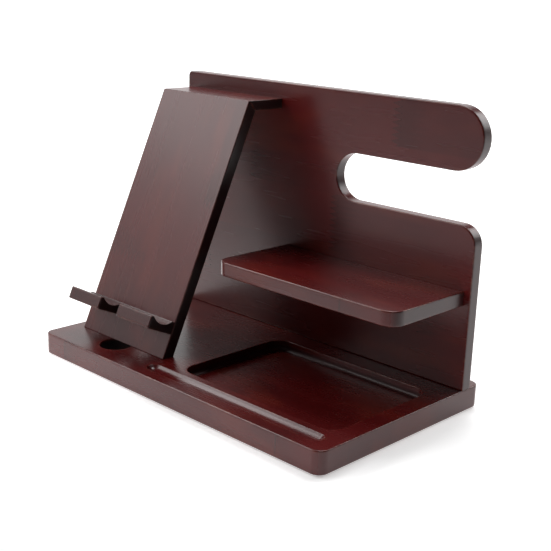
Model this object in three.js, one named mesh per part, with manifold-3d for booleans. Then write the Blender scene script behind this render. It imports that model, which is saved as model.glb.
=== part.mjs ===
// Wooden desk dock: a leaning rest for a tablet or phone, a shelf, a tray and a pen groove on one base.
// Millimetres, +Z up. X runs along the long side of the base, -Y is the front, and the origin is on the
// desk under the middle of the base. The boards are glued and held by dowels, pins and hidden screws.
import * as THREE from "three";
import { mergeVertices } from "three/addons/utils/BufferGeometryUtils.js";
import Module from "manifold-3d";

const wasm = await Module();
wasm.setup();

// Driving dimensions
const boardThickness = 10;
const glueGap = 0.3;
const base = { width: 304, depth: 178, thickness: 17, cornerRadius: 8 };
const foot = { radius: 7, proud: 1.5, recess: 1.5, inset: 18, edge: 0.6 };
const back = { rearSetback: 14, height: 204.5, topCornerRadius: 4, shoulderRadius: 15, armHeight: 46 };
const slot = { height: 37, closedEnd: 22 };
const rest = { left: -141, width: 102.5, lean: THREE.MathUtils.degToRad(24), footY: -57.5, height: 192 };
const restTopThickness = 8;
const ledge = { depth: 25, thickness: 10, height: 20, coveRadius: 13, coveDepth: 4.2, coveCentre: 13 };
const notch = { width: 22.5, bridge: 5 };
const shelf = { left: -27.5, right: 146.5, front: -15.5, thickness: 11, height: 63.5, cornerRadius: 12 };
const tray = { left: -14.5, right: 136.5, front: -60, rear: 46, depth: 8, cornerRadius: 12, cove: 3 };
const groove = { left: -36, right: 139, y: -72.5, width: 12, depth: 3 };
const cableHole = { y: -63, radius: 12.75 };

// Hidden fixings: sizes, and places measured from the middle of the piece that they hold
const drillClearance = 0.2;
const screw = { headRadius: 4, headHeight: 2.4, shankRadius: 2, point: 4, sunk: 0.2 };
const baseScrew = { length: 40, places: [-105, -35, 35, 105] };
const shelfScrew = { length: 34, places: [-70, 0, 70] };
const footDowel = { radius: 2.5, length: 22, inBase: 9, spread: 38 };
const topDowel = { radius: 2, length: 18, inBack: 6, spread: 36 };
const ledgePin = { radius: 1.5, length: 15, inPlate: 6.5, height: 2.9, places: [-43, -21, 21, 43] };

// Derived dimensions
const baseTop = foot.proud + base.thickness;
const backRear = base.depth / 2 - back.rearSetback;
const backFront = backRear - boardThickness;
const backMiddle = backRear - boardThickness / 2;
const restCentre = rest.left + rest.width / 2;
const footDepth = boardThickness / Math.cos(rest.lean);
const restTopUnderside = rest.height - restTopThickness;

const acrossX = new THREE.Matrix4().makeBasis(
  new THREE.Vector3(0, 1, 0),
  new THREE.Vector3(0, 0, 1),
  new THREE.Vector3(1, 0, 0),
);
const uprightToFront = new THREE.Matrix4().makeBasis(
  new THREE.Vector3(1, 0, 0),
  new THREE.Vector3(0, 0, 1),
  new THREE.Vector3(0, -1, 0),
);

function solidOf(geometry, matrix = new THREE.Matrix4()) {
  const bare = geometry.clone().applyMatrix4(matrix);
  bare.deleteAttribute("normal");
  bare.deleteAttribute("uv");
  const merged = mergeVertices(bare);
  return new wasm.Manifold(
    new wasm.Mesh({
      numProp: 3,
      vertProperties: merged.attributes.position.array,
      triVerts: new Uint32Array(merged.index.array),
    }),
  );
}

function geometryOf(solid) {
  const mesh = solid.getMesh();
  const geometry = new THREE.BufferGeometry();
  geometry.setAttribute("position", new THREE.BufferAttribute(mesh.vertProperties, 3));
  geometry.setIndex(new THREE.BufferAttribute(mesh.triVerts, 1));
  geometry.computeVertexNormals();
  return geometry;
}

function cut(geometry, cutters) {
  const rough = solidOf(geometry);
  return geometryOf(cutters.reduce((solid, cutter) => solid.subtract(solidOf(cutter)), rough));
}

function roundedRectangle(left, right, front, rear, radius) {
  const shape = new THREE.Shape();
  shape.absarc(right - radius, rear - radius, radius, 0, Math.PI / 2);
  shape.absarc(left + radius, rear - radius, radius, Math.PI / 2, Math.PI);
  shape.absarc(left + radius, front + radius, radius, Math.PI, 1.5 * Math.PI);
  shape.absarc(right - radius, front + radius, radius, 1.5 * Math.PI, 2 * Math.PI);
  shape.closePath();
  return shape;
}

function slab(shape, depth, curveSegments = 4) {
  return new THREE.ExtrudeGeometry(shape, { depth, bevelEnabled: false, curveSegments });
}

function stainedWood() {
  return new THREE.MeshStandardMaterial({ color: 0x4c1915, roughness: 0.35, metalness: 0 });
}

function dowelWood() {
  return new THREE.MeshStandardMaterial({ color: 0xc49a6c, roughness: 0.7, metalness: 0 });
}

function zincSteel() {
  return new THREE.MeshStandardMaterial({ color: 0xb9b9b4, roughness: 0.3, metalness: 1 });
}

function blackRubber() {
  return new THREE.MeshStandardMaterial({ color: 0x1b1b1b, roughness: 0.8, metalness: 0 });
}

function named(name, geometry, material) {
  const mesh = new THREE.Mesh(geometry, material);
  mesh.name = name;
  return mesh;
}

// A turned piece points along its own +Y. Its drill is the same profile with the clearance all round.
function turned(name, profile, drillProfile, material, sides = 16) {
  const revolve = (points) => new THREE.LatheGeometry(points.map((p) => new THREE.Vector2(...p)), sides);
  const mesh = named(name, revolve(profile), material);
  mesh.userData.drill = revolve(drillProfile);
  return mesh;
}

function countersunkScrew(name, length) {
  const { headRadius, headHeight, shankRadius, point, sunk } = screw;
  const wideHead = headRadius + drillClearance;
  const wideShank = shankRadius + drillClearance;
  const profile = [
    [0, sunk],
    [headRadius, sunk],
    [shankRadius, sunk + headHeight],
    [shankRadius, length - point],
    [0, length],
  ];
  const drillProfile = [
    [0, -1],
    [wideHead, -1],
    [wideHead, sunk + drillClearance],
    [wideShank, sunk + headHeight + drillClearance],
    [wideShank, length + drillClearance],
    [0, length + drillClearance],
  ];
  return turned(name, profile, drillProfile, zincSteel());
}

function dowel(name, { radius, length }) {
  const chamfer = 0.5;
  const profile = [
    [0, 0],
    [radius - chamfer, 0],
    [radius, chamfer],
    [radius, length - chamfer],
    [radius - chamfer, length],
    [0, length],
  ];
  const wide = radius + drillClearance;
  const drillProfile = [
    [0, -drillClearance],
    [wide, -drillClearance],
    [wide, length + drillClearance],
    [0, length + drillClearance],
  ];
  return turned(name, profile, drillProfile, dowelWood(), 12);
}

function rubberFoot(name) {
  const height = foot.proud + foot.recess;
  const profile = [
    [0, 0],
    [foot.radius - foot.edge, 0],
    [foot.radius, foot.edge],
    [foot.radius, height],
    [0, height],
  ];
  const wide = foot.radius + drillClearance;
  const drillProfile = [
    [0, -1],
    [wide, -1],
    [wide, height],
    [0, height],
  ];
  return turned(name, profile, drillProfile, blackRubber(), 24);
}

// Drills each board for the fixings that pass into it, wherever they stand in the scene graph.
function drill(boards, fixings) {
  for (const board of boards) {
    const toBoard = board.matrixWorld.clone().invert();
    const drills = fixings.map((fixing) =>
      fixing.userData.drill.clone().applyMatrix4(toBoard.clone().multiply(fixing.matrixWorld)),
    );
    board.geometry = cut(board.geometry, drills);
  }
}

function trayCutter() {
  const { left, right, front, rear, depth, cornerRadius, cove } = tray;
  const floorOutline = roundedRectangle(
    left + cove,
    right - cove,
    front + cove,
    rear - cove,
    cornerRadius - cove,
  );
  const cutter = new THREE.ExtrudeGeometry(floorOutline, {
    depth,
    bevelThickness: cove,
    bevelSize: cove,
    bevelSegments: 3,
    curveSegments: 4,
  });
  return cutter.translate(0, 0, base.thickness - depth + cove);
}

// Shaped like the path of a ball-nosed cutter, whose arc meets both rims and the floor of the groove
function grooveCutter() {
  const { left, right, width, depth } = groove;
  const ballRadius = (width ** 2 / 4 + depth ** 2) / (2 * depth);
  return new THREE.CapsuleGeometry(ballRadius, right - left - width, 8, 32)
    .rotateZ(Math.PI / 2)
    .translate((left + right) / 2, groove.y, base.thickness - depth + ballRadius);
}

function cableHoleCutter() {
  const reach = base.thickness + 2;
  return new THREE.CylinderGeometry(cableHole.radius, cableHole.radius, reach, 32)
    .rotateX(Math.PI / 2)
    .translate(restCentre, cableHole.y, base.thickness / 2);
}

function baseBoard() {
  const { width, depth, thickness, cornerRadius } = base;
  const outline = roundedRectangle(-width / 2, width / 2, -depth / 2, depth / 2, cornerRadius);
  const geometry = cut(slab(outline, thickness), [trayCutter(), grooveCutter(), cableHoleCutter()]);
  return named("base_board", geometry, stainedWood());
}

// Outline seen from the front: the arm ends in a half round, and so does the slot under it.
function backBoardOutline() {
  const side = base.width / 2;
  const { height, topCornerRadius, shoulderRadius, armHeight } = back;
  const armRadius = armHeight / 2;
  const slotRadius = slot.height / 2;
  const slotTop = height - armHeight;
  const slotBottom = slotTop - slot.height;
  const shape = new THREE.Shape();
  shape.moveTo(-side, 0);
  shape.lineTo(side, 0);
  shape.absarc(side - shoulderRadius, slotBottom - shoulderRadius, shoulderRadius, 0, Math.PI / 2);
  shape.absarc(slot.closedEnd + slotRadius, slotBottom + slotRadius, slotRadius, 1.5 * Math.PI, Math.PI / 2, true);
  shape.absarc(side - armRadius, height - armRadius, armRadius, -Math.PI / 2, Math.PI / 2);
  shape.absarc(-side + topCornerRadius, height - topCornerRadius, topCornerRadius, Math.PI / 2, Math.PI);
  shape.closePath();
  return shape;
}

function backBoard() {
  const geometry = slab(backBoardOutline(), boardThickness, 8).applyMatrix4(uprightToFront);
  const mesh = named("back_board", geometry, stainedWood());
  mesh.position.y = backRear;
  return mesh;
}

// The foot of the leaning board is cut level, and its top is mitred to the short top board.
function restProfiles() {
  const slope = Math.tan(rest.lean);
  const outer = new THREE.Vector2(rest.height * slope, rest.height);
  const inner = new THREE.Vector2(footDepth + restTopUnderside * slope, restTopUnderside);
  const wall = backFront - rest.footY;
  const plate = new THREE.Shape([
    new THREE.Vector2(0, 0),
    new THREE.Vector2(footDepth, 0),
    inner,
    outer,
  ]);
  const top = new THREE.Shape([
    new THREE.Vector2(inner.x + glueGap, inner.y),
    new THREE.Vector2(wall, inner.y),
    new THREE.Vector2(wall, outer.y),
    new THREE.Vector2(outer.x + glueGap, outer.y),
  ]);
  return { plate, top };
}

function restBoard(name, profile) {
  const geometry = slab(profile, rest.width).applyMatrix4(acrossX);
  const mesh = named(name, geometry, stainedWood());
  mesh.position.x = -rest.width / 2;
  return mesh;
}

// The ledge is drawn against the leaning face: its own -Y points away from the face, square to it.
function ledgeProfile() {
  const { depth, thickness, coveRadius, coveDepth, coveCentre } = ledge;
  const centreZ = thickness + coveRadius - coveDepth;
  const edgeAngle = Math.acos((centreZ - thickness) / coveRadius);
  const shape = new THREE.Shape();
  shape.moveTo(-glueGap, 0);
  shape.lineTo(-glueGap, thickness);
  const down = -Math.PI / 2;
  shape.absarc(-coveCentre, centreZ, coveRadius, down + edgeAngle, down - edgeAngle, true);
  shape.lineTo(-depth, thickness);
  shape.lineTo(-depth, 0);
  shape.closePath();
  return shape;
}

function ledgeBoard() {
  const board = slab(ledgeProfile(), rest.width, 6)
    .applyMatrix4(acrossX)
    .translate(-rest.width / 2, 0, 0);
  const overcut = 5;
  const notchLength = ledge.depth - notch.bridge + overcut;
  const notchCutter = new THREE.BoxGeometry(notch.width, notchLength, ledge.thickness + 2 * overcut)
    .translate(0, -notch.bridge - notchLength / 2, ledge.thickness / 2);
  const mesh = named("ledge", cut(board, [notchCutter]), stainedWood());
  mesh.position.z = ledge.height;
  return mesh;
}

function shelfBoard() {
  const { left, right, front, thickness, height, cornerRadius } = shelf;
  const shape = new THREE.Shape();
  shape.moveTo(right, backFront);
  shape.lineTo(left, backFront);
  shape.absarc(left + cornerRadius, front + cornerRadius, cornerRadius, Math.PI, 1.5 * Math.PI);
  shape.absarc(right - cornerRadius, front + cornerRadius, cornerRadius, 1.5 * Math.PI, 2 * Math.PI);
  shape.closePath();
  const mesh = named("shelf", slab(shape, thickness), stainedWood());
  mesh.position.z = height;
  return mesh;
}

function rubberFeet() {
  const x = base.width / 2 - foot.inset;
  const y = base.depth / 2 - foot.inset;
  const corners = { front_left: [-x, -y], front_right: [x, -y], rear_left: [-x, y], rear_right: [x, y] };
  return Object.entries(corners).map(([corner, [footX, footY]]) => {
    const mesh = rubberFoot(`foot_${corner}`);
    mesh.rotation.x = Math.PI / 2;
    mesh.position.set(footX, footY, 0);
    return mesh;
  });
}

// Up through the base into the lower edge of the back board
function baseScrews() {
  return baseScrew.places.map((x, i) => {
    const mesh = countersunkScrew(`base_screw_${i + 1}`, baseScrew.length);
    mesh.rotation.x = Math.PI / 2;
    mesh.position.set(x, backMiddle, foot.proud);
    return mesh;
  });
}

// Through the back board from behind into the rear edge of the shelf
function shelfScrews() {
  const middle = (shelf.left + shelf.right) / 2;
  return shelfScrew.places.map((x, i) => {
    const mesh = countersunkScrew(`shelf_screw_${i + 1}`, shelfScrew.length);
    mesh.rotation.x = Math.PI;
    mesh.position.set(middle + x, backRear, shelf.height + shelf.thickness / 2);
    return mesh;
  });
}

// Along the leaning board, from the base up into its foot
function footDowels() {
  return [-1, 1].map((side, i) => {
    const mesh = dowel(`foot_dowel_${i + 1}`, footDowel);
    mesh.rotation.x = Math.PI / 2;
    const middle = boardThickness / 2;
    mesh.position.set(side * footDowel.spread, middle, middle * Math.tan(rest.lean) - footDowel.inBase);
    return mesh;
  });
}

// Level, from the rear edge of the top board into the back board
function topDowels() {
  return [-1, 1].map((side, i) => {
    const mesh = dowel(`top_dowel_${i + 1}`, topDowel);
    mesh.rotation.x = Math.PI;
    const rear = backFront - rest.footY + topDowel.inBack;
    mesh.position.set(side * topDowel.spread, rear, rest.height - restTopThickness / 2);
    return mesh;
  });
}

// Square to the leaning face, from inside the leaning board out into the ledge
function ledgePins() {
  return ledgePin.places.map((x, i) => {
    const mesh = dowel(`ledge_pin_${i + 1}`, ledgePin);
    mesh.rotation.x = Math.PI;
    mesh.position.set(x, ledgePin.inPlate, ledge.height + ledgePin.height);
    return mesh;
  });
}

function assemble() {
  const stand = new THREE.Group();

  const bottom = baseBoard();
  bottom.position.z = foot.proud;
  const feet = rubberFeet();
  const upScrews = baseScrews();
  stand.add(bottom, ...feet, ...upScrews);

  const upright = new THREE.Group();
  upright.position.z = baseTop;
  const panel = backBoard();
  const plank = shelfBoard();
  const rearScrews = shelfScrews();
  upright.add(panel, plank, ...rearScrews);

  const leanTo = new THREE.Group();
  leanTo.position.set(restCentre, rest.footY, baseTop);
  const profiles = restProfiles();
  const plate = restBoard("rest_plate", profiles.plate);
  const top = restBoard("rest_top", profiles.top);
  const levelDowels = topDowels();
  leanTo.add(plate, top, ...levelDowels);

  const onFace = new THREE.Group();
  onFace.rotation.x = -rest.lean;
  const lip = ledgeBoard();
  const slantedDowels = footDowels();
  const pins = ledgePins();
  onFace.add(lip, ...slantedDowels, ...pins);
  leanTo.add(onFace);

  stand.add(upright, leanTo);
  stand.updateMatrixWorld(true);
  drill([bottom], [...feet, ...upScrews, ...slantedDowels]);
  drill([panel], [...upScrews, ...rearScrews, ...levelDowels]);
  drill([plank], rearScrews);
  drill([plate], [...slantedDowels, ...pins]);
  drill([top], levelDowels);
  drill([lip], pins);
  return stand;
}

export default assemble();
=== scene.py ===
"""Looks of the wooden desk dock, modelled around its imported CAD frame. Metres, +Z up, -Y is the front."""
import math

import bmesh
import bpy
from mathutils import Matrix, Vector
from mathutils.geometry import delaunay_2d_cdt


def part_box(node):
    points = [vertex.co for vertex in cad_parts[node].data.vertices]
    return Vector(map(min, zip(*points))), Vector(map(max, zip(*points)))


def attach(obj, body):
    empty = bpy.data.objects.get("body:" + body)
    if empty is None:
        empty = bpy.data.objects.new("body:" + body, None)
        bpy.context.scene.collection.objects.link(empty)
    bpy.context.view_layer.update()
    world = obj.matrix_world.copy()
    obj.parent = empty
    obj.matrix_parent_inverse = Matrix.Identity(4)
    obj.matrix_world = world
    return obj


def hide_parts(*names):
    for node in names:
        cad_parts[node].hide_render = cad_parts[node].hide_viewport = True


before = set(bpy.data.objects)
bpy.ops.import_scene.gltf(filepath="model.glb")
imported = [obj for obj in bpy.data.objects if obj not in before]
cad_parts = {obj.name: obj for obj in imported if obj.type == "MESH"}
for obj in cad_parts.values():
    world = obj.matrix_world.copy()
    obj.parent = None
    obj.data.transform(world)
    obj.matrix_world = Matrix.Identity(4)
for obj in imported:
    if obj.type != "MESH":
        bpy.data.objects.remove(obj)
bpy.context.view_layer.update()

MM = 0.001

# ---------------------------------------------------------------- sizes

# Features that the CAD boxes don't give, as the CAD has them
LEAN = math.radians(24)
BOARD = 10 * MM
BASE_CORNER = 8 * MM
BACK_TOP_CORNER = 4 * MM
SHOULDER_CORNER = 15 * MM
ARM_HEIGHT = 46 * MM
SLOT_HEIGHT = 37 * MM
SLOT_END = 22 * MM
SHELF_CORNER = 12 * MM
TRAY = {"left": -14.5 * MM, "right": 136.5 * MM, "front": -60 * MM, "rear": 46 * MM}
TRAY_CORNER = 12 * MM
TRAY_DEPTH = 8 * MM
TRAY_COVE = 3 * MM
GROOVE = {"left": -36 * MM, "right": 139 * MM, "middle": -72.5 * MM, "width": 12 * MM, "depth": 3 * MM}
CABLE_HOLE = {"y": -63 * MM, "radius": 12.75 * MM}
LEDGE = {"depth": 25 * MM, "gap": 0.3 * MM, "height": 20 * MM, "thickness": 10 * MM, "corner": 1.2 * MM}
COVE = {"radius": 13 * MM, "depth": 4.2 * MM, "out": 13 * MM}
NOTCH = {"width": 22.5 * MM, "bridge": 5 * MM, "corner": 1.5 * MM}
SCREW = {"head": 4 * MM, "head_height": 2.4 * MM, "shank": 2 * MM, "point": 4 * MM, "sunk": 0.2 * MM}
BASE_SCREW_LENGTH = 40 * MM
SHELF_SCREW_LENGTH = 34 * MM
FOOT_DOWEL = {"radius": 2.5 * MM, "length": 22 * MM}
TOP_DOWEL = {"radius": 2 * MM, "length": 18 * MM}
LEDGE_PIN = {"radius": 1.5 * MM, "length": 15 * MM}
DRILL_CLEARANCE = 0.2 * MM

# Small details that the CAD leaves out. TREAD_LIP is (distance out from a foot's dimple, height) rows
SCREW_RIM = {"across": 0.25 * MM, "down": 0.15 * MM}
SCREW_TIP = 0.15 * MM
THREAD = {"root": 1.35 * MM, "pitch": 1.8 * MM, "plain_share": 0.35, "crest_share": 0.24, "rows_per_turn": 8}
CROSS = {"arm": 2.2 * MM, "half_width": 0.5 * MM, "corner": 0.15 * MM, "depth": 2 * MM, "taper": 0.3 * MM}
CROSS_FLARE = 0.1 * MM
FLUTES = {"count": 12, "depth": 0.15 * MM, "chamfer": 0.5 * MM}
TREAD = {"dimple_share": 0.3, "dimple_depth": 0.5 * MM, "round": 0.8 * MM, "chamfer": 0.2 * MM}
TREAD_LIP = ((0.4 * MM, 0.2 * MM), (0.9 * MM, 0.0))

# How far outside a face its cutters start
CUT_LEAD = 1 * MM

# How the boards' edges are rounded, and how wide the worn band beside each is
EASE = 0.9 * MM
CRISP = 0.35 * MM
LEDGE_EASE = 0.7 * MM
TRAY_EASE = 0.5 * MM
WEAR_BAND = 1.5 * MM

# How steep the pen groove's arc still is where its narrow flat bottom starts
FLATTEST = math.radians(5)

# The wear attribute runs from its lowest value, where the finish is raw and its colour darkened nearly to
# black as painted shade in recesses, through 0 to 1, where hands have rubbed it
UNPOLISHED_AND_SHADED = -1.0
# The tray's cove is marked part raw, which darkens it as painted shade under the shelf
COVE_RAW_AND_SHADED = 0.6 * UNPOLISHED_AND_SHADED
LEAST_EDGE_WEAR = 0.35

# Steps of the rounded shapes
CORNER_STEPS = 10
EDGE_STEPS = 3
TRAY_COVE_STEPS = 6
GROOVE_STEPS = 10
TREAD_STEPS = 5
SIDES = {"cove": 96, "foot": 48, "drill": 32, "screw": 24, "flute": 4}
SHARP_FROM = math.radians(38)

# The output of delaunay_2d_cdt that keeps to the inside of the borders, and its weld distance
TRIANGLES_INSIDE = 1
WELD = 1e-7

base_low, base_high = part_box("base_board")
back_low, back_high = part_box("back_board")
plate_low, plate_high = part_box("rest_plate")
top_low, top_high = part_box("rest_top")
shelf_low, shelf_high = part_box("shelf")
base_thickness = base_high.z - base_low.z
rest_centre = (plate_low.x + plate_high.x) / 2
slope_length = (plate_high.z - plate_low.z) / math.cos(LEAN)

# Directions
X, Y, Z = (1, 0, 0), (0, 1, 0), (0, 0, 1)
FORWARD = (0, -1, 0)
UP_SLOPE = (0, math.sin(LEAN), math.cos(LEAN))
OUT_OF_REST = (0, -math.cos(LEAN), math.sin(LEAN))
INTO_REST = (0, math.cos(LEAN), -math.sin(LEAN))

# ---------------------------------------------------------------- looks

WOOD_DARK = (0.058, 0.0024, 0.0026)
WOOD_LIGHT = (0.108, 0.0054, 0.0054)
WOOD_WARM = (0.135, 0.012, 0.005)
WOOD_PORE = (0.010, 0.0025, 0.0024)
WOOD_NEAR_BLACK = (0.010, 0.0036, 0.0036)
WOOD_WORN = (0.24, 0.085, 0.050)
RUBBER_BLACK = (0.018, 0.018, 0.019)
RUBBER_DUSTY = (0.055, 0.054, 0.052)
ZINC_DULL = (0.48, 0.49, 0.50)
ZINC_BRIGHT = (0.72, 0.71, 0.68)
BEECH_TAN = (0.42, 0.25, 0.13)
BEECH_PALE = (0.62, 0.42, 0.25)
BEECH_FLECK = (0.24, 0.12, 0.06)
FLOOR_GREY = (0.86, 0.86, 0.86)
FLOOR_PALE = (0.89, 0.89, 0.89)
WHITE = (1.0, 1.0, 1.0, 1.0)

# The staves that the boards are glued from, end to end with finger joints
STAVE_WIDTH = 45 * MM
STAVE_LENGTH = 236 * MM
STAVE_STAGGER = 0.382 * STAVE_LENGTH
FINGER_PITCH = 4.6 * MM
FINGER_LENGTH = 8 * MM
DARK_START = {"length": 30 * MM, "drop": 1.3}
GLUE_LINE = 1.6 * MM
SEAM_LINE = 0.35 * MM
SEAM_SHARE = 0.25

# The wood's noises. Along is the share of the scale that is left along the grain, so less draws it out more
WOOD_NOISES = {
    "fine": {"scale": 900.0, "along": 0.045, "shift": 0, "detail": 3.0},
    "broad": {"scale": 110.0, "along": 0.10, "shift": 3, "detail": 2.0},
    "clouds": {"scale": 22.0, "along": 0.5, "shift": 7, "detail": 1.5},
    "pores": {"scale": 1700.0, "along": 0.07, "shift": 11, "detail": 1.0},
    "warmth": {"scale": 30.0, "along": 0.4, "shift": 17, "detail": 2.0},
    "rub": {"scale": 260.0, "along": 0.35, "shift": 5, "detail": 3.0},
    "peel": {"scale": 160.0, "along": 1.0, "shift": 13, "detail": 1.0},
}
NOISE_ROUGHNESS = 0.55
SEED_STEPS = (0.37, 0.11, 0.23)
EVEN = (1.0, 1.0, 1.0)

# From where to where each noise turns into its mask, and so does the facing of end grain and of the rest's
# sides, which are darkened partly as painted shade
PORES = (0.63, 0.72)
WARMTH = (0.48, 0.72)
RUB = (0.42, 0.66)
END_GRAIN_AND_SIDE_SHADE = (0.55, 0.95)

# How far each noise moves the wood from dark to light, and how much a full mask covers
SHADE_SHARES = {"fine": 0.07, "broad": 0.10, "clouds": 0.55}
WARM_SHARE = 0.6
PORE_SHARE = 0.06
GLUE_SHARE = 0.35
# The next share darkens raw faces nearly to black: painted shade in the tray's cove and the cable hole's bore
RECESS_SHADE_SHARE = 0.9
RUBBED_SHARE = 0.35

# The satin lacquer
LACQUER_ROUGHNESS = 0.27
BROAD_ROUGHNESS = 0.05
END_ROUGHNESS = 0.06
RAW_ROUGHNESS = 0.35
FINE_RELIEF = 0.2
PORE_RELIEF = -0.04
GLUE_RELIEF = -0.1
GRAIN = {"bump": 0.03, "relief": 0.03 * MM}
PEEL = {"bump": 0.05, "relief": 0.06 * MM}
LACQUER = {"IOR": 1.5, "Coat_Weight": 0.05, "Coat_Roughness": 0.16}

# The small pieces: least roughness, how much a noise adds to it, and how strong and deep the bumps are
RUBBER = {"roughness": 0.60, "uneven": 0.25, "bump": 0.25, "relief": 0.05 * MM}
ZINC = {"roughness": 0.20, "uneven": 0.22, "bump": 0.15, "relief": 0.02 * MM}
BEECH = {"roughness": 0.58, "uneven": 0.15, "bump": 0.3, "relief": 0.04 * MM}
RUBBER_SPECULAR = 0.35
DUST = (0.4, 0.75)
FLECKS = (0.58, 0.70)
FLECK_SHARE = 0.5

# ---------------------------------------------------------------- studio settings

CAMERA_AZIMUTH = 43.77
CAMERA_PITCH = -15.93
CAMERA_ROLL = 1.99
CAMERA_PLACE = (0.5370, -0.5368, 0.3011)
CAMERA_LENS = 67.63
CAMERA_SENSOR = 36.0
CAMERA_CLIP = (0.05, 50.0)

# The world: a white backdrop behind the stand, a bright band at the horizon, and a dim room
BACKDROP = 1.45
BACKDROP_EDGE = (0.84, 0.93)
BACKDROP_RISE = 0.14
HORIZON = 1.5
HORIZON_TOP = (0.06, 0.2)
HORIZON_SIDES = (0.0, 0.2)
ROOM = 0.025

# The floor glows though it is no lamp: painted light. It is stronger far away and in a painted pool of light
# at the left, dimmed in front as painted shade, and dark under the base, a painted shadow that fades out over
# BASE_SHADE up to the base's edges
FLOOR_SIZE = 6.0
FLOOR_CELLS = 8
FLOOR_ROUGHNESS = 0.6
FLOOR_GLOW = 0.54
FAR_FLOOR_GLOW = 1.1
FAR_FLOOR = (0.35, 1.8)
FRONT_DIMMING = 0.9
DIM_WAY = (0.26, -0.97, 0.0)
DIM_SIDES = (-0.05, 0.3)
DIM_REACH = (0.10, 0.40)
LIGHT_POOL = (-0.20, -0.11, 0.0)
POOL_GLOW = 0.40
POOL_REACH = (0.05, 0.22)
BASE_SHADE = 12 * MM

# Lamps that face LAMP_TARGET. Azimuth 0 is the front and 90 the right side, in degrees
LAMP_TARGET = (0, 0, 0.1)
SOFTBOXES = {
    "key": {"azimuth": -46, "elevation": 32, "distance": 2.4, "size": (2.0, 0.85), "radiance": 2.7},
    "key_spill": {"azimuth": -48, "elevation": 35, "distance": 2.6, "size": (1.9, 2.65), "radiance": 1.05},
    "left_fill": {"azimuth": -84, "elevation": 47, "distance": 2.2, "size": (1.3, 0.6), "radiance": 5.5},
    "overhead": {"azimuth": 200, "elevation": 68, "distance": 1.15, "size": (0.54, 0.54), "radiance": 8.5},
    "rear": {"azimuth": 162, "elevation": 30, "distance": 2.0, "size": (1.0, 1.0), "radiance": 4.5},
}


# ---------------------------------------------------------------- outlines and lofted boards


def rectangle(left, right, front, rear, radius):
    """Four corners, anticlockwise, each as (x, y, radius)."""
    return [
        (left, front, radius),
        (right, front, radius),
        (right, rear, radius),
        (left, rear, radius),
    ]


def offset_outline(corners, inset):
    """Points of an anticlockwise outline moved inwards by inset, with every corner rounded."""
    points = []
    for i, (x, y, radius) in enumerate(corners):
        at = Vector((x, y))
        coming = (at - Vector(corners[i - 1][:2])).normalized()
        going = (Vector(corners[(i + 1) % len(corners)][:2]) - at).normalized()
        turn = math.atan2(coming.cross(going), coming.dot(going))
        side = math.copysign(1, turn)
        left_of_coming = Vector((-coming.y, coming.x))
        left_of_going = Vector((-going.y, going.x))
        reach = max(radius, side * inset)
        share = (left_of_coming + left_of_going) / (1 + left_of_coming.dot(left_of_going))
        centre = at + side * reach * share
        arm = -side * (reach - side * inset) * left_of_coming
        steps = max(2, round(abs(turn) / (math.pi / 2) * CORNER_STEPS))
        for k in range(steps + 1):
            angle = turn * k / steps
            c, s = math.cos(angle), math.sin(angle)
            points.append(centre + Vector((arm.x * c - arm.y * s, arm.x * s + arm.y * c)))
    return points


def new_mesh():
    bm = bmesh.new()
    bm.verts.layers.float.new("wear_and_shade")
    return bm


def add_ring(bm, points, height, wear_and_shade):
    layer = bm.verts.layers.float["wear_and_shade"]
    ring = [bm.verts.new((x, y, height)) for x, y in points]
    for vert in ring:
        vert[layer] = wear_and_shade
    return ring


def join_rings(bm, rings):
    """Quads between each ring and the next."""
    for lower, upper in zip(rings, rings[1:]):
        for i in range(len(lower)):
            j = (i + 1) % len(lower)
            bm.faces.new((lower[i], lower[j], upper[j], upper[i]))


def sweep(bm, outline, profile):
    """Rings of the outline at each (inset, height, wear and painted shade) of the profile, joined by quads.
    """
    rings = [add_ring(bm, offset_outline(outline, inset), height, wear_and_shade) for inset, height, wear_and_shade in profile]
    join_rings(bm, rings)
    return rings


def fill(bm, *rings):
    """Closes a flat face whose outer border is the first ring and whose holes, all convex, are the others."""
    if len(rings) == 1:
        bm.faces.new(rings[0])
        return
    verts = [vert for ring in rings for vert in ring]
    owner = [k for k, ring in enumerate(rings) for _ in ring]
    borders = []
    for ring in rings:
        first = len(borders)
        borders += [(first + i, first + (i + 1) % len(ring)) for i in range(len(ring))]
    flat = [vert.co.to_2d() for vert in verts]
    _, _, triangles, sources, _, _ = delaunay_2d_cdt(flat, borders, [], TRIANGLES_INSIDE, WELD)
    for triangle in triangles:
        corners = [sources[i][0] for i in triangle]
        touched = {owner[corner] for corner in corners}
        if len(touched) > 1 or touched == {0}:
            bm.faces.new([verts[corner] for corner in corners])


def edge_wear(share):
    """How worn a rounded edge is, from one side of it (0) to the other (1)."""
    return LEAST_EDGE_WEAR + (1 - LEAST_EDGE_WEAR) * math.sin(math.pi * share)


def eased_edge(height, ease, direction):
    """Quarter round from the flat face at height to the side, as (inset, height, wear and painted shade)
    rows.
    """
    rows = [(ease + WEAR_BAND, height, 0.0)]
    for k in range(EDGE_STEPS + 1):
        angle = math.pi / 2 * k / EDGE_STEPS
        down = direction * ease * (1 - math.cos(angle))
        rows.append((ease * (1 - math.sin(angle)), height + down, edge_wear(k / EDGE_STEPS)))
    rows.append((0.0, height + direction * (ease + WEAR_BAND), 0.0))
    return rows


def board_profile(thickness, ease=EASE):
    lower = eased_edge(0.0, ease, 1)
    upper = eased_edge(thickness, ease, -1)
    return lower + upper[::-1]


def rim_profile(height, ease=EASE):
    """The eased rim of a hole or recess, from the flat face down into it."""
    return [(-inset, level, wear_and_shade) for inset, level, wear_and_shade in eased_edge(height, ease, -1)[:-1]]


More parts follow.
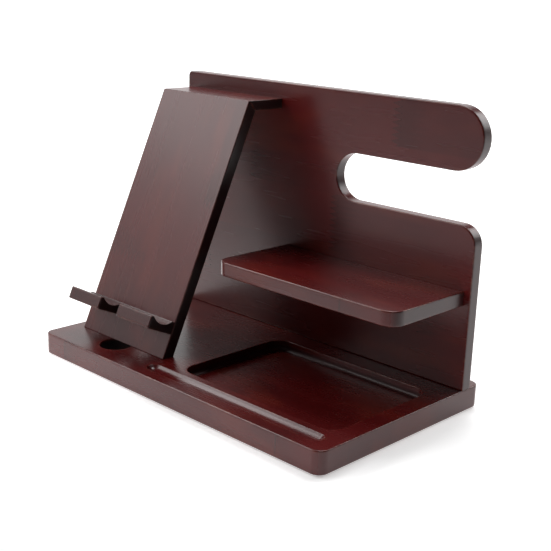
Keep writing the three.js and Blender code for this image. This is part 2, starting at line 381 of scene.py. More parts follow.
def revolve(bm, profile, place, sides=SIDES["drill"], radius_at=None):
    """A closed turned shape about its own Z from (radius, height) rows, put where place says."""
    rings = []
    for radius, height in profile:
        ring = []
        for k in range(sides):
            angle = 2 * math.pi * k / sides
            r = radius_at(radius, height, angle) if radius_at else radius
            ring.append(bm.verts.new(place @ Vector((r * math.cos(angle), r * math.sin(angle), height))))
        rings.append(ring)
    join_rings(bm, rings)
    bm.faces.new(rings[0])
    bm.faces.new(rings[-1])


def add_to_scene(thing):
    bpy.context.scene.collection.objects.link(thing)


def as_object(name, bm, place=Matrix.Identity(4)):
    bmesh.ops.remove_doubles(bm, verts=bm.verts, dist=WELD)
    bmesh.ops.recalc_face_normals(bm, faces=bm.faces)
    mesh = bpy.data.meshes.new(name)
    bm.to_mesh(mesh)
    bm.free()
    piece = bpy.data.objects.new(name, mesh)
    piece.matrix_world = place
    add_to_scene(piece)
    return piece


def swept_piece(name, outline, profile, place):
    """The outline swept along the profile, with both ends closed."""
    bm = new_mesh()
    rings = sweep(bm, outline, profile)
    fill(bm, rings[0])
    fill(bm, rings[-1])
    return as_object(name, bm, place)


def carve(piece, cutter):
    """Takes the cutter's solid out of the piece for good, and removes the cutter."""
    modifier = piece.modifiers.new("carve", "BOOLEAN")
    modifier.operation = "DIFFERENCE"
    modifier.solver = "MANIFOLD"
    modifier.object = cutter
    graph = bpy.context.evaluated_depsgraph_get()
    carved = bpy.data.meshes.new_from_object(piece.evaluated_get(graph))
    if len(carved.vertices) == len(piece.data.vertices):
        raise RuntimeError(f"{cutter.name} cut nothing out of {piece.name}: one of them may not be closed")
    piece.modifiers.clear()
    piece.data = carved
    carved.name = piece.name
    bpy.data.objects.remove(cutter)


def smooth(piece):
    """Soft shading over the eased edges, with the flat faces kept flat."""
    piece.data.polygons.foreach_set("use_smooth", [True] * len(piece.data.polygons))
    piece.data.set_sharp_from_angle(angle=SHARP_FROM)
    modifier = piece.modifiers.new("weighted_normals", "WEIGHTED_NORMAL")
    modifier.keep_sharp = True


def axes(origin, x, y, z):
    """A board's own frame: x runs along its grain and z out through its thickness."""
    rows = [list(column) + [at] for column, at in zip(zip(x, y, z), origin)]
    return Matrix(rows + [[0, 0, 0, 1]])


# ---------------------------------------------------------------- node helpers


def set_input(tree, socket, value):
    """Links a socket to the input, or sets the input to a plain value."""
    if isinstance(value, bpy.types.NodeSocket):
        tree.links.new(value, socket)
    else:
        socket.default_value = value


def node(tree, kind, settings=None, **inputs):
    made = tree.nodes.new("ShaderNode" + kind)
    for key, value in (settings or {}).items():
        setattr(made, key, value)
    for key, value in inputs.items():
        set_input(tree, made.inputs[key.replace("_", " ")], value)
    return made


def calc(tree, operation, a, b=0.0, c=0.0):
    made = node(tree, "Math", {"operation": operation})
    for socket, value in zip(made.inputs, (a, b, c)):
        set_input(tree, socket, value)
    return made.outputs[0]


def measure(tree, operation, vector, other=(0.0, 0.0, 0.0)):
    """A number from one vector, or from it and a fixed one."""
    made = node(tree, "VectorMath", {"operation": operation}, Vector=vector)
    made.inputs[1].default_value = other
    return made.outputs["Value"]


def ramp(tree, value, low, high, to_low=0.0, to_high=1.0):
    """Smooth step of a value from one range to another."""
    made = node(tree, "MapRange", {"interpolation_type": "SMOOTHSTEP"}, Value=value)
    for key, number in (("From Min", low), ("From Max", high), ("To Min", to_low), ("To Max", to_high)):
        made.inputs[key].default_value = number
    return made.outputs["Result"]


def tint(tree, factor, a, b):
    """Mixes two colours by a factor."""
    made = node(tree, "Mix", {"data_type": "RGBA"})
    set_input(tree, made.inputs[0], factor)
    for socket, colour in ((made.inputs[6], a), (made.inputs[7], b)):
        set_input(tree, socket, (*colour, 1.0) if isinstance(colour, tuple) else colour)
    return made.outputs[2]


def stretched_noise(tree, coords, stretch, scale, seed, detail=3.0):
    """Noise drawn out along the local axes by the stretch vector."""
    shift = tuple(seed * step for step in SEED_STEPS)
    mapping = node(tree, "Mapping", Vector=coords, Scale=stretch, Location=shift)
    noise = node(
        tree,
        "TexNoise",
        Vector=mapping.outputs[0],
        Scale=scale,
        Detail=detail,
        Roughness=NOISE_ROUGHNESS,
    )
    return noise.outputs["Fac"]


def bump(tree, height, finish, **inputs):
    made = node(tree, "Bump", Strength=finish["bump"], Distance=finish["relief"], Height=height, **inputs)
    return made.outputs[0]


def uneven_roughness(tree, noise, finish):
    return calc(tree, "MULTIPLY_ADD", noise, finish["uneven"], finish["roughness"])


def new_material(name):
    material = bpy.data.materials.new(name)
    material.use_nodes = True
    material.node_tree.nodes.clear()
    return material, material.node_tree


def finish_material(tree, **inputs):
    shader = node(tree, "BsdfPrincipled", **inputs)
    output = tree.nodes.new("ShaderNodeOutputMaterial")
    tree.links.new(shader.outputs[0], output.inputs["Surface"])


# ---------------------------------------------------------------- stained wood


def line_mask(tree, share, width):
    """1 at the whole numbers of a repeat, fading to 0 within width, which is a share of the repeat."""
    nearest = calc(tree, "MINIMUM", share, calc(tree, "SUBTRACT", 1.0, share))
    return ramp(tree, nearest, 0.0, width, 1.0, 0.0)


def finger_joints(tree, x, y, joint_at, stave_from, seed):
    """Tone of each stave piece, darkest where it starts, and a mask of its glue lines."""
    across = calc(tree, "DIVIDE", calc(tree, "SUBTRACT", y, stave_from), STAVE_WIDTH)
    stave = calc(tree, "FLOOR", across)
    finger = calc(tree, "PINGPONG", y, FINGER_PITCH / 2)
    zigzag = calc(tree, "MULTIPLY", finger, FINGER_LENGTH / (FINGER_PITCH / 2))
    stagger = calc(tree, "MULTIPLY", stave, STAVE_STAGGER)
    run = calc(tree, "ADD", calc(tree, "ADD", calc(tree, "SUBTRACT", x, joint_at), zigzag), stagger)
    lengths = calc(tree, "DIVIDE", run, STAVE_LENGTH)
    cell = node(tree, "CombineXYZ", X=calc(tree, "FLOOR", lengths), Y=stave, Z=seed)
    tone = node(tree, "TexWhiteNoise", {"noise_dimensions": "3D"}, Vector=cell.outputs[0]).outputs["Value"]
    share = calc(tree, "FRACT", lengths)
    start = ramp(tree, share, 0.0, DARK_START["length"] / STAVE_LENGTH, DARK_START["drop"], 0.0)
    line = line_mask(tree, share, GLUE_LINE / STAVE_LENGTH)
    seam = line_mask(tree, calc(tree, "FRACT", across), SEAM_LINE / STAVE_WIDTH)
    glue = calc(tree, "MAXIMUM", line, calc(tree, "MULTIPLY", seam, SEAM_SHARE))
    return calc(tree, "SUBTRACT", tone, start), glue


def wood_noises(tree, place, seed):
    noises = {}
    for kind, noise in WOOD_NOISES.items():
        stretch = (noise["along"], 1.0, 1.0)
        shifted = seed + noise["shift"]
        noises[kind] = stretched_noise(tree, place, stretch, noise["scale"], shifted, noise["detail"])
    return noises


def wood_shade(tree, noises, tone, matched):
    """Where the wood lies between dark and light, from 0 to 1."""
    variations = [(noises[kind], share) for kind, share in SHADE_SHARES.items()]
    shade = 0.5
    for variation, share in variations + [(tone, matched)]:
        shade = calc(tree, "MULTIPLY_ADD", calc(tree, "SUBTRACT", variation, 0.5), share, shade)
    return ramp(tree, shade, 0.0, 1.0)


def wood_masks(tree, noises, glue, facing):
    """Where the wood is warmer, porous, glued, darkened as end grain and as painted shade on the rest's
    sides, raw and darkened as painted shade in recesses, or rubbed.
    """
    wear_and_shade = node(tree, "Attribute", {"attribute_name": "wear_and_shade"}).outputs["Fac"]
    touched = calc(tree, "MAXIMUM", wear_and_shade, 0.0)
    return {
        "warm": ramp(tree, noises["warmth"], *WARMTH),
        "pore": ramp(tree, noises["pores"], *PORES),
        "glue": glue,
        "end_grain_and_side_shade": ramp(tree, calc(tree, "ABSOLUTE", facing), *END_GRAIN_AND_SIDE_SHADE),
        "raw_and_shaded": ramp(tree, wear_and_shade, UNPOLISHED_AND_SHADED, 0.0, 1.0, 0.0),
        "rubbed": calc(tree, "MULTIPLY", touched, ramp(tree, noises["rub"], *RUB)),
    }


def wood_colour(tree, shade, masks, soak_and_shade, stain):
    layers = (
        (masks["warm"], WARM_SHARE, WOOD_WARM),
        (masks["pore"], PORE_SHARE, WOOD_PORE),
        (masks["glue"], GLUE_SHARE, WOOD_PORE),
        (1.0, stain, WOOD_NEAR_BLACK),
        # Faces along the soaked axis darken nearly to black: end grain, and on the rest's sides partly
        # painted shade
        (masks["end_grain_and_side_shade"], soak_and_shade, WOOD_NEAR_BLACK),
        # Raw faces darken nearly to black: painted shade in the recesses
        (masks["raw_and_shaded"], RECESS_SHADE_SHARE, WOOD_NEAR_BLACK),
        (masks["rubbed"], RUBBED_SHARE, WOOD_WORN),
    )
    colour = tint(tree, shade, WOOD_DARK, WOOD_LIGHT)
    for mask, share, over in layers:
        colour = tint(tree, calc(tree, "MULTIPLY", mask, share), colour, over)
    return colour


def lacquer_roughness(tree, noises, masks):
    uneven = calc(tree, "SUBTRACT", noises["broad"], 0.5)
    rough = calc(tree, "MULTIPLY_ADD", uneven, BROAD_ROUGHNESS, LACQUER_ROUGHNESS)
    rough = calc(tree, "MULTIPLY_ADD", masks["end_grain_and_side_shade"], END_ROUGHNESS, rough)
    return calc(tree, "MULTIPLY_ADD", masks["raw_and_shaded"], RAW_ROUGHNESS, rough)


def lacquer_normals(tree, noises, masks):
    """Normals of the wood's filled grain, and of the lacquer that flowed over it."""
    height = calc(tree, "MULTIPLY", noises["fine"], FINE_RELIEF)
    height = calc(tree, "MULTIPLY_ADD", masks["pore"], PORE_RELIEF, height)
    height = calc(tree, "MULTIPLY_ADD", masks["glue"], GLUE_RELIEF, height)
    grain = bump(tree, height, GRAIN)
    return grain, bump(tree, noises["peel"], PEEL, Normal=grain)


def stained_wood(
    name, seed, joint_at=0.0, stave_from=0.0, grain="XYZ", soaked_and_shaded="X", soak_and_shade=0.75, matched=0.2, stain=0.0
):
    """Mahogany-stained finger-jointed wood under satin lacquer.

    The first letter of grain is the piece's own axis that the grain runs along, and the second the one
    across its staves. Faces looking along the soaked axis are darker: end grain that has drunk more stain,
    and on the rest's boards the side edges, partly stained and partly painted shade of the dim right side.
    A larger matched makes the staves differ more, and a larger stain makes the whole piece darker.
    """
    material, tree = new_material(name)
    coords = node(tree, "TexCoord")
    split = node(tree, "SeparateXYZ", Vector=coords.outputs["Object"])
    x, y, z = (split.outputs[letter] for letter in grain)
    place = node(tree, "CombineXYZ", X=x, Y=y, Z=z).outputs[0]
    facing = node(tree, "SeparateXYZ", Vector=coords.outputs["Normal"]).outputs[soaked_and_shaded]
    tone, glue = finger_joints(tree, x, y, joint_at, stave_from, float(seed))
    noises = wood_noises(tree, place, seed)
    masks = wood_masks(tree, noises, glue, facing)
    shade = wood_shade(tree, noises, tone, matched)
    grain_normal, lacquer_normal = lacquer_normals(tree, noises, masks)
    finish_material(
        tree,
        Base_Color=wood_colour(tree, shade, masks, soak_and_shade, stain),
        Roughness=lacquer_roughness(tree, noises, masks),
        Normal=grain_normal,
        Coat_Normal=lacquer_normal,
        **LACQUER,
    )
    return material


# ---------------------------------------------------------------- other materials


def moulded_rubber():
    material, tree = new_material("moulded_rubber")
    place = node(tree, "TexCoord").outputs["Object"]
    dust = stretched_noise(tree, place, EVEN, scale=900.0, seed=2)
    grit = stretched_noise(tree, place, EVEN, scale=3500.0, seed=5, detail=2.0)
    finish_material(
        tree,
        Base_Color=tint(tree, ramp(tree, dust, *DUST), RUBBER_BLACK, RUBBER_DUSTY),
        Roughness=uneven_roughness(tree, dust, RUBBER),
        Specular_IOR_Level=RUBBER_SPECULAR,
        Normal=bump(tree, grit, RUBBER),
    )
    return material


def zinc_plate():
    material, tree = new_material("zinc_plate")
    place = node(tree, "TexCoord").outputs["Object"]
    spangle = stretched_noise(tree, place, EVEN, scale=1400.0, seed=1)
    scratch = stretched_noise(tree, place, (1.0, 0.05, 1.0), scale=5200.0, seed=4, detail=1.0)
    finish_material(
        tree,
        Base_Color=tint(tree, spangle, ZINC_DULL, ZINC_BRIGHT),
        Metallic=1.0,
        Roughness=uneven_roughness(tree, spangle, ZINC),
        Normal=bump(tree, scratch, ZINC),
    )
    return material


def plain_beech():
    material, tree = new_material("plain_beech")
    place = node(tree, "TexCoord").outputs["Object"]
    fleck = stretched_noise(tree, place, (1.0, 1.0, 0.08), scale=2600.0, seed=3)
    band = stretched_noise(tree, place, (1.0, 1.0, 0.12), scale=420.0, seed=8)
    plain = tint(tree, band, BEECH_TAN, BEECH_PALE)
    finish_material(
        tree,
        Base_Color=tint(tree, ramp(tree, fleck, *FLECKS, 0.0, FLECK_SHARE), plain, BEECH_FLECK),
        Roughness=uneven_roughness(tree, band, BEECH),
        Normal=bump(tree, fleck, BEECH),
    )
    return material


def kept_in_front(tree, place, away):
    """The share of the floor's painted glow that is left once the floor in front is dimmed as painted shade.
    """
    cosine = calc(tree, "DIVIDE", measure(tree, "DOT_PRODUCT", place, DIM_WAY), away)
    reach = ramp(tree, away, *DIM_REACH, 0.0, FRONT_DIMMING)
    return calc(tree, "SUBTRACT", 1.0, calc(tree, "MULTIPLY", ramp(tree, cosine, *DIM_SIDES), reach))


def clear_of_base(tree, place):
    """A painted shadow of the base on the floor's glow: 0 under the base and 1 outside it."""
    split = node(tree, "SeparateXYZ", Vector=place)
    past_side = calc(tree, "SUBTRACT", calc(tree, "ABSOLUTE", split.outputs["X"]), base_high.x)
    past_front = calc(tree, "SUBTRACT", calc(tree, "ABSOLUTE", split.outputs["Y"]), base_high.y)
    return ramp(tree, calc(tree, "MAXIMUM", past_side, past_front), -BASE_SHADE, 0.0)


# The floor's painted light: its glow, a painted pool of light, painted shade in front and a painted shadow
# under the base
def floor_glow(tree, place):
    away = measure(tree, "LENGTH", place)
    glow = ramp(tree, away, *FAR_FLOOR, FLOOR_GLOW, FAR_FLOOR_GLOW)
    glow = calc(tree, "MULTIPLY", glow, kept_in_front(tree, place, away))
    from_pool = measure(tree, "DISTANCE", place, LIGHT_POOL)
    glow = calc(tree, "ADD", glow, ramp(tree, from_pool, *POOL_REACH, POOL_GLOW, 0.0))
    return calc(tree, "MULTIPLY", glow, clear_of_base(tree, place))


# A pale floor that glows though it is no lamp, which is painted light
def pale_glowing_floor():
    material, tree = new_material("pale_glowing_floor")
    place = node(tree, "TexCoord").outputs["Object"]
    mottle = stretched_noise(tree, place, EVEN, scale=6.0, seed=1)
    finish_material(
        tree,
        Base_Color=tint(tree, mottle, FLOOR_GREY, FLOOR_PALE),
        Roughness=FLOOR_ROUGHNESS,
        Emission_Color=WHITE,
        Emission_Strength=floor_glow(tree, place),
    )
    return material


# ---------------------------------------------------------------- boards


def tray_recess(bm):
    outline = rectangle(TRAY["left"], TRAY["right"], TRAY["front"], TRAY["rear"], TRAY_CORNER)
    profile = rim_profile(base_thickness, TRAY_EASE)
    bottom = base_thickness - TRAY_DEPTH
    for k in range(TRAY_COVE_STEPS + 1):
        angle = math.pi / 2 * k / TRAY_COVE_STEPS
        rise = TRAY_COVE * (1 - math.sin(angle))
        # The cove rows are part raw, which darkens them as painted shade under the shelf
        profile.append((TRAY_COVE * (1 - math.cos(angle)), bottom + rise, COVE_RAW_AND_SHADED))
    profile.append((TRAY_COVE + WEAR_BAND, bottom, 0.0))
    rings = sweep(bm, outline, profile)
    fill(bm, rings[-1])
    return rings[0]


def groove_profile(half, depth):
    """Half of a round-bottomed groove, whose eased rim runs smoothly into the arc of its floor."""
    arc = (half**2 + depth**2) / (2 * depth)
    steepest = math.acos((arc - depth + EASE) / (arc + EASE))
    rim = half - (arc + EASE) * math.sin(steepest)
    floor = base_thickness - depth
    profile = [(rim - WEAR_BAND, base_thickness, 0.0)]
    for k in range(EDGE_STEPS + 1):
        angle = steepest * k / EDGE_STEPS
        down = EASE * (1 - math.cos(angle))
        profile.append((rim + EASE * math.sin(angle), base_thickness - down, edge_wear(k / EDGE_STEPS)))
    for k in range(1, GROOVE_STEPS + 1):
        angle = steepest + (FLATTEST - steepest) * k / GROOVE_STEPS
        profile.append((half - arc * math.sin(angle), floor + arc * (1 - math.cos(angle)), 0.0))
    return profile


def pen_groove(bm):
    half, middle = GROOVE["width"] / 2, GROOVE["middle"]
    outline = rectangle(GROOVE["left"], GROOVE["right"], middle - half, middle + half, half)
    rings = sweep(bm, outline, groove_profile(half, GROOVE["depth"]))
    fill(bm, rings[-1])
    return rings[0]


def cable_hole(bm):
    y, radius = CABLE_HOLE["y"], CABLE_HOLE["radius"]
    outline = rectangle(rest_centre - radius, rest_centre + radius, y - radius, y + radius, radius)
    upper_rim = rim_profile(base_thickness)
    lower_rim = [(inset, base_thickness - height, wear_and_shade) for inset, height, wear_and_shade in upper_rim]
    bore_from, bore_to = EASE + WEAR_BAND, base_thickness - EASE - WEAR_BAND
    # The bore is raw, which darkens it nearly to black as painted shade inside the hole
    bore = [(0.0, bore_to, UNPOLISHED_AND_SHADED), (0.0, bore_from, UNPOLISHED_AND_SHADED)]
    rings = sweep(bm, outline, upper_rim + bore + lower_rim[::-1])
    return rings[0], rings[-1]


def base_board():
    bm = new_mesh()
    outline = rectangle(base_low.x, base_high.x, base_low.y, base_high.y, BASE_CORNER)
    rings = sweep(bm, outline, board_profile(base_thickness))
    hole_top, hole_bottom = cable_hole(bm)
    fill(bm, rings[-1], tray_recess(bm), pen_groove(bm), hole_top)
    fill(bm, rings[0], hole_bottom)
    return as_object("base", bm, axes((0, 0, base_low.z), X, Y, Z))


def back_board():
    height = back_high.z - back_low.z
    side = back_high.x
    slot_top = height - ARM_HEIGHT
    slot_bottom = slot_top - SLOT_HEIGHT
    outline = [
        (-side, 0.0, CRISP),
        (side, 0.0, CRISP),
        (side, slot_bottom, SHOULDER_CORNER),
        (SLOT_END, slot_bottom, SLOT_HEIGHT / 2),
        (SLOT_END, slot_top, SLOT_HEIGHT / 2),
        (side, slot_top, ARM_HEIGHT / 2),
        (side, height, ARM_HEIGHT / 2),
        (-side, height, BACK_TOP_CORNER),
    ]
    place = axes((0, back_high.y, back_low.z), X, Z, FORWARD)
    return swept_piece("upright", outline, board_profile(back_high.y - back_low.y), place)


def shelf_board():
    outline = [
        (shelf_low.x, shelf_low.y, SHELF_CORNER),
        (shelf_high.x, shelf_low.y, SHELF_CORNER),
        (shelf_high.x, shelf_high.y, CRISP),
        (shelf_low.x, shelf_high.y, CRISP),
    ]
    place = axes((0, 0, shelf_low.z), X, Y, Z)
    return swept_piece("small_shelf", outline, board_profile(shelf_high.z - shelf_low.z), place)


def rest_plate():
    """Foot cut level, top cut along the mitre. Its outline is the edge seen from the right."""
    top_step = top_high.z - top_low.z
    inner_top = ((plate_high.z - plate_low.z) - top_step + BOARD * math.sin(LEAN)) / math.cos(LEAN)
    outline = [
        (BOARD * math.tan(LEAN), -BOARD, CRISP),
        (inner_top, -BOARD, CRISP),
        (slope_length, 0.0, CRISP),
        (0.0, 0.0, CRISP),
    ]
    place = axes((plate_low.x, plate_low.y, plate_low.z), UP_SLOPE, OUT_OF_REST, X)
    return swept_piece("leaning_rest", outline, board_profile(plate_high.x - plate_low.x), place)


def rest_top():
    depth = top_high.y - top_low.y
    thickness = top_high.z - top_low.z
    mitre_run = BOARD / math.cos(LEAN) - thickness * math.tan(LEAN)
    outline = [
        (mitre_run, 0.0, CRISP),
        (depth, 0.0, CRISP),
        (depth, thickness, CRISP),
        (0.0, thickness, CRISP),
    ]
    place = axes((top_low.x, top_low.y, top_low.z), Y, Z, X)
    return swept_piece("rest_cap", outline, board_profile(top_high.x - top_low.x), place)


def ledge_outline(half, notch):
    """The ledge in plan against the leaning face, with the cable notch in its front."""
    front, corner = -LEDGE["depth"], LEDGE["corner"]
    return [
        (-half, front, corner),
        (-notch, front, corner),
        (-notch, -NOTCH["bridge"], NOTCH["corner"]),
        (notch, -NOTCH["bridge"], NOTCH["corner"]),
        (notch, front, corner),
        (half, front, corner),
        (half, -LEDGE["gap"], CRISP),
        (-half, -LEDGE["gap"], CRISP),
    ]


def cove_cutter(place, half):
    """A long rod lying over the ledge, from beyond one end to beyond the other."""
    centre_height = LEDGE["thickness"] + COVE["radius"] - COVE["depth"]
    lengthways = axes((-half - BOARD, -COVE["out"], centre_height), Y, Z, X)
    bm = bmesh.new()
    rod = [(COVE["radius"], 0.0), (COVE["radius"], 2 * (half + BOARD))]
    revolve(bm, rod, place @ lengthways, SIDES["cove"])
    return as_object("cove_cutter", bm)


def ledge_board():
    half = (plate_high.x - plate_low.x) / 2
    foot = Vector((rest_centre, plate_low.y, plate_low.z)) + LEDGE["height"] * Vector(UP_SLOPE)
    place = axes(foot, X, INTO_REST, UP_SLOPE)
    outline = ledge_outline(half, NOTCH["width"] / 2)
    piece = swept_piece("ledge_lip", outline, board_profile(LEDGE["thickness"], LEDGE_EASE), place)
    carve(piece, cove_cutter(place, half))
    return piece


# ---------------------------------------------------------------- screws, dowels and feet


def place_piece(piece, material, slot, *nodes):
    """Gives the piece its material, hangs it on the root body and hides the CAD nodes that it stands for."""
    piece.data.materials.clear()
    piece.data.materials.append(material)
    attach(piece, "root")
    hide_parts(*nodes)


def along(node_name, direction, first, last):
    """Frame of a turned piece that fills its CAD node from height first to height last on its own Z."""
    low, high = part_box(node_name)
    turn = Vector(direction).to_track_quat("Z", "Y").to_matrix().to_4x4()
    return Matrix.Translation((low + high) / 2 - (first + last) / 2 * Vector(direction)) @ turn


def cross_recess(place):
    """Cutter for the tapered cross in a screw's head."""
    arm, half_width = CROSS["arm"], CROSS["half_width"]
    outline = []
    for k in range(4):
        quarter = Matrix.Rotation(k * math.pi / 2, 2)
        for corner in ((arm, -half_width), (arm, half_width), (half_width, half_width)):
            outline.append((*(quarter @ Vector(corner)), CROSS["corner"]))
    profile = [
        (-CROSS_FLARE, -CUT_LEAD, 0.0),
        (0.0, SCREW["sunk"], 0.0),
        (CROSS["taper"], CROSS["depth"], 0.0),
    ]
    return swept_piece("recess_cutter", outline, profile, place)


def screw_profile(length, thread_from, thread_to):
    """Head, neck, enough rows to carry the thread, and the point."""
    head, shank, face = SCREW["head"], SCREW["shank"], SCREW["sunk"]
    rows = round((thread_to - thread_from) / THREAD["pitch"] * THREAD["rows_per_turn"])
    profile = [
        (head - SCREW_RIM["across"], face),
        (head, face + SCREW_RIM["down"]),
        (shank, face + SCREW["head_height"]),
    ]
    profile += [(shank, thread_from + (thread_to - thread_from) * k / rows) for k in range(rows + 1)]
    profile.append((SCREW_TIP, length))
    return profile


def countersunk_screw(name, place, length):
    thread_from = THREAD["plain_share"] * length
    thread_to = length - SCREW["point"]

    def threaded(radius, height, angle):
        if not thread_from < height <= thread_to:
            return radius
        phase = (height / THREAD["pitch"] - angle / (2 * math.pi)) % 1
        crest = max(0.0, 1 - abs(phase - 0.5) / THREAD["crest_share"])
        return THREAD["root"] + (radius - THREAD["root"]) * crest

    bm = bmesh.new()
    profile = screw_profile(length, thread_from, thread_to)
    revolve(bm, profile, Matrix.Identity(4), SIDES["screw"], threaded)
    piece = as_object(name, bm, place)
    carve(piece, cross_recess(place))
    return piece


def screw_drill(length):
    head = SCREW["head"] + DRILL_CLEARANCE
    shank = SCREW["shank"] + DRILL_CLEARANCE
    head_floor = SCREW["sunk"] + DRILL_CLEARANCE
    neck = head_floor + SCREW["head_height"]
    return [(head, -CUT_LEAD), (head, head_floor), (shank, neck), (shank, length + DRILL_CLEARANCE)]


def fluted_dowel(name, place, radius, length):
    def fluted(rim, height, angle):
        return rim - FLUTES["depth"] * (1 - math.cos(FLUTES["count"] * angle)) / 2

    chamfer = FLUTES["chamfer"]
    profile = [
        (radius - chamfer, 0.0),
        (radius, chamfer),
        (radius, length - chamfer),
        (radius - chamfer, length),
    ]
    bm = bmesh.new()
    revolve(bm, profile, Matrix.Identity(4), SIDES["flute"] * FLUTES["count"], fluted)
    return as_object(name, bm, place)


def dowel_drill(radius, length):
    wide = radius + DRILL_CLEARANCE
    return [(wide, -DRILL_CLEARANCE), (wide, length + DRILL_CLEARANCE)]


def rubber_foot(name, place, radius, height):
    """Moulded foot with a dimple underneath and a rounded tread edge."""
    dimple, round_over, chamfer = TREAD["dimple_share"] * radius, TREAD["round"], TREAD["chamfer"]
    profile = [(dimple, TREAD["dimple_depth"])]
    profile += [(dimple + out, level) for out, level in TREAD_LIP]
    for k in range(TREAD_STEPS + 1):
        angle = math.pi / 2 * k / TREAD_STEPS
        profile.append((radius - round_over * (1 - math.sin(angle)), round_over * (1 - math.cos(angle))))
    profile += [(radius, height - chamfer), (radius - chamfer, height)]
    bm = bmesh.new()
    revolve(bm, profile, Matrix.Identity(4), SIDES["foot"])
    return as_object(name, bm, place)


def feet(drills):
    rubber = moulded_rubber()
    for corner in ("front_left", "front_right", "rear_left", "rear_right"):
        name = "foot_" + corner
        low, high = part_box(name)
        radius, height = (high.x - low.x) / 2, high.z - low.z
        wide = radius + DRILL_CLEARANCE
        place = along(name, Z, 0.0, height)
        revolve(drills["base_board"], [(wide, -CUT_LEAD), (wide, height)], place)
        piece = rubber_foot("rubber_" + name, place, radius, height)
        smooth(piece)
        place_piece(piece, rubber, "black_rubber", name)


def screws(drills):
    zinc = zinc_plate()
    runs = (
        ("base_screw", 4, Z, BASE_SCREW_LENGTH, ("base_board", "back_board")),
        ("shelf_screw", 3, FORWARD, SHELF_SCREW_LENGTH, ("back_board", "shelf")),
    )
    for stem, count, direction, length, drilled in runs:
        for i in range(count):
            name = f"{stem}_{i + 1}"
            place = along(name, direction, SCREW["sunk"], length)
            for board in drilled:
                revolve(drills[board], screw_drill(length), place)
            piece = countersunk_screw("zinc_" + name, place, length)
            smooth(piece)
            place_piece(piece, zinc, "zinc_steel", name)


def dowels(drills):
    beech = plain_beech()
    runs = (
        ("foot_dowel", 2, UP_SLOPE, FOOT_DOWEL, ("base_board", "rest_plate")),
        ("top_dowel", 2, FORWARD, TOP_DOWEL, ("back_board", "rest_top")),
        ("ledge_pin", 4, OUT_OF_REST, LEDGE_PIN, ("rest_plate", "ledge")),
    )
    for stem, count, direction, size, drilled in runs:
        for i in range(count):
            name = f"{stem}_{i + 1}"
            place = along(name, direction, 0.0, size["length"])
            for board in drilled:
                revolve(drills[board], dowel_drill(size["radius"], size["length"]), place)
            piece = fluted_dowel("beech_" + name, place, size["radius"], size["length"])
            smooth(piece)
            place_piece(piece, beech, "dowel_wood", name)


def rest_wood(name, seed):
    """The wood of the rest's two boards, whose grain runs from the foot up and over the top. Their side edges
    are darkened nearly to black, partly a darker stain and partly painted shade of the dim right side.
    """
    return stained_wood(name, seed, joint_at=310 * MM, grain="XZY", soaked_and_shaded="Z", soak_and_shade=1.0)


def boards():
    """The six boards, each with its own wood, drilled for the pieces that hold them together."""
    base_wood = {"joint_at": -62 * MM, "stave_from": -17 * MM, "soak_and_shade": 0.3}
    back_wood = {"joint_at": 115.5 * MM, "stave_from": 34 * MM, "matched": 0.32}
    ledge_wood = {"joint_at": 200 * MM, "stave_from": -30 * MM, "soak_and_shade": 1.0, "stain": 0.5}
    shelf_wood = {"joint_at": 15 * MM, "stave_from": 2 * MM}
    made = {
        "base_board": (base_board(), stained_wood("base_wood", 1, **base_wood)),
        "back_board": (back_board(), stained_wood("back_wood", 2, **back_wood)),
        "rest_plate": (rest_plate(), rest_wood("rest_wood", 3)),
        "rest_top": (rest_top(), rest_wood("cap_wood", 4)),
        "ledge": (ledge_board(), stained_wood("ledge_wood", 5, **ledge_wood)),
        "shelf": (shelf_board(), stained_wood("shelf_wood", 6, **shelf_wood)),
    }
    drills = {name: bmesh.new() for name in made}
    feet(drills)
    screws(drills)
    dowels(drills)
    for name, (piece, material) in made.items():
        carve(piece, as_object(name + "_drills", drills[name]))
        smooth(piece)
        place_piece(piece, material, "stained_wood", name)


# ---------------------------------------------------------------- studio


def camera():
    data = bpy.data.cameras.new("camera")
    data.sensor_width = CAMERA_SENSOR
    data.lens = CAMERA_LENS
    data.clip_start, data.clip_end = CAMERA_CLIP
    holder = bpy.data.objects.new("camera", data)
    a, e = math.radians(CAMERA_AZIMUTH), math.radians(CAMERA_PITCH)
    forward = Vector((-math.sin(a) * math.cos(e), math.cos(a) * math.cos(e), math.sin(e)))
    right = forward.cross(Vector(Z)).normalized()
    up = right.cross(forward)
    roll = Matrix.Rotation(math.radians(CAMERA_ROLL), 3, "Z")
    turn = Matrix((right, up, -forward)).transposed() @ roll
    holder.matrix_world = Matrix.Translation(CAMERA_PLACE) @ turn.to_4x4()
    add_to_scene(holder)
    bpy.context.scene.camera = holder


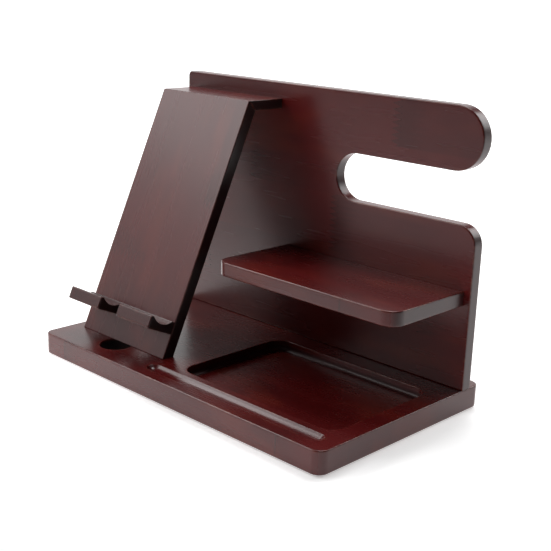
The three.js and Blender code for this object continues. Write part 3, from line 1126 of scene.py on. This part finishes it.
def studio_floor():
    bm = bmesh.new()
    bmesh.ops.create_grid(bm, x_segments=FLOOR_CELLS, y_segments=FLOOR_CELLS, size=FLOOR_SIZE)
    floor = as_object("studio_floor", bm)
    floor.data.materials.append(pale_glowing_floor())


def softbox(name, azimuth, elevation, distance, size, radiance):
    """A rectangular lamp aimed at the stand."""
    a, e = math.radians(azimuth), math.radians(elevation)
    away = Vector((math.sin(a) * math.cos(e), -math.cos(a) * math.cos(e), math.sin(e)))
    width, height = size
    lamp = bpy.data.lights.new(name, "AREA")
    lamp.shape = "RECTANGLE"
    lamp.size = width
    lamp.size_y = height
    lamp.energy = radiance * math.pi * width * height
    holder = bpy.data.objects.new(name, lamp)
    holder.location = Vector(LAMP_TARGET) + distance * away
    holder.rotation_mode = "QUATERNION"
    holder.rotation_quaternion = away.to_track_quat("Z", "Y")
    add_to_scene(holder)


def surroundings():
    """White backdrop behind the stand, falling off to a dim room on the camera's side."""
    world = bpy.data.worlds.new("studio")
    bpy.context.scene.world = world
    world.use_nodes = True
    tree = world.node_tree
    tree.nodes.clear()
    direction = node(tree, "TexCoord").outputs["Generated"]
    a = math.radians(CAMERA_AZIMUTH)
    middle = Vector((-math.sin(a), math.cos(a), BACKDROP_RISE)).normalized()
    behind = measure(tree, "DOT_PRODUCT", direction, middle)
    backdrop = ramp(tree, behind, *BACKDROP_EDGE, 0.0, BACKDROP)
    height = node(tree, "SeparateXYZ", Vector=direction).outputs["Z"]
    low = ramp(tree, height, *HORIZON_TOP, HORIZON, 0.0)
    band = calc(tree, "MULTIPLY", low, ramp(tree, behind, *HORIZON_SIDES))
    level = calc(tree, "MAXIMUM", calc(tree, "MAXIMUM", backdrop, band), ROOM)
    background = node(tree, "Background", Strength=level)
    output = tree.nodes.new("ShaderNodeOutputWorld")
    tree.links.new(background.outputs[0], output.inputs["Surface"])


def studio():
    camera()
    studio_floor()
    surroundings()
    for name, lamp in SOFTBOXES.items():
        softbox(name, **lamp)
    bpy.context.scene.view_settings.view_transform = "Standard"


boards()
studio()
